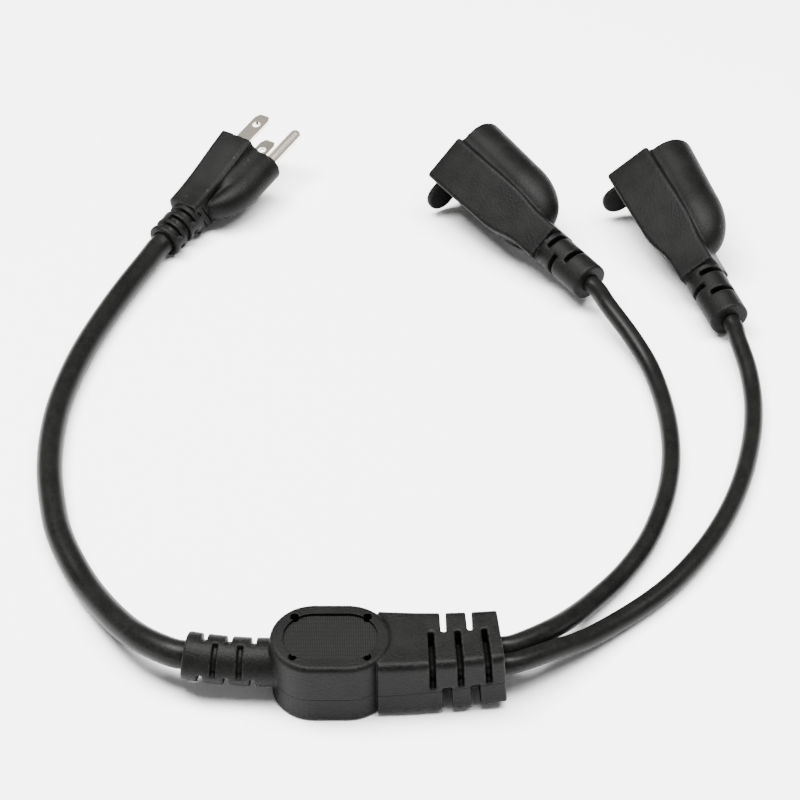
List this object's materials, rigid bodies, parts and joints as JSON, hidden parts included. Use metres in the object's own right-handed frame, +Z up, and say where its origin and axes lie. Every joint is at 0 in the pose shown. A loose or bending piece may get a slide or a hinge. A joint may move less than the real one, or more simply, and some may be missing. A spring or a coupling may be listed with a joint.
{
  "type": "power cord splitter",
  "caption": "Grounded Y power cord: a moulded junction joins a thick cord with a straight plug to thinner cords that end in inline grounded outlets.",
  "frame": {"origin": "middle of the flat underside of the junction's pad, on the surface that the part lies on", "axes": "+X along the junction towards its two-cord tail, +Z up out of the surface, +Y across the junction on the side where the plug and outlets lie"},
  "size_m": [0.2426, 0.2794, 0.033],
  "materials": {
    "housing_vinyl": "matte moulded vinyl, fine pebble",
    "cord_vinyl": "smooth satin cord jacket",
    "hard_plastic": "satin",
    "core_vinyl": "matte",
    "nickel_brass": "nickel plated, bright drawn",
    "spring_brass": "plain stamped brass",
    "tinned_copper": "tinned, dull"
  },
  "bodies": {
    "root": {"plug_body": "housing_vinyl", "plug_bridge": "hard_plastic", "line_blade": "nickel_brass", "neutral_blade": "nickel_brass", "ground_pin": "nickel_brass", "feed_cord": "cord_vinyl", "junction_body": "housing_vinyl", "junction_core": "core_vinyl", "line_splice": "tinned_copper", "neutral_splice": "tinned_copper", "ground_splice": "tinned_copper", "outlet_1_cord": "cord_vinyl", "outlet_1_body": "housing_vinyl", "outlet_1_insert": "hard_plastic", "outlet_1_line_contact": "spring_brass", "outlet_1_neutral_contact": "spring_brass", "outlet_1_ground_contact": "spring_brass", "outlet_2_cord": "cord_vinyl", "outlet_2_body": "housing_vinyl", "outlet_2_insert": "hard_plastic", "outlet_2_line_contact": "spring_brass", "outlet_2_neutral_contact": "spring_brass", "outlet_2_ground_contact": "spring_brass"}
  },
  "joints": []
}
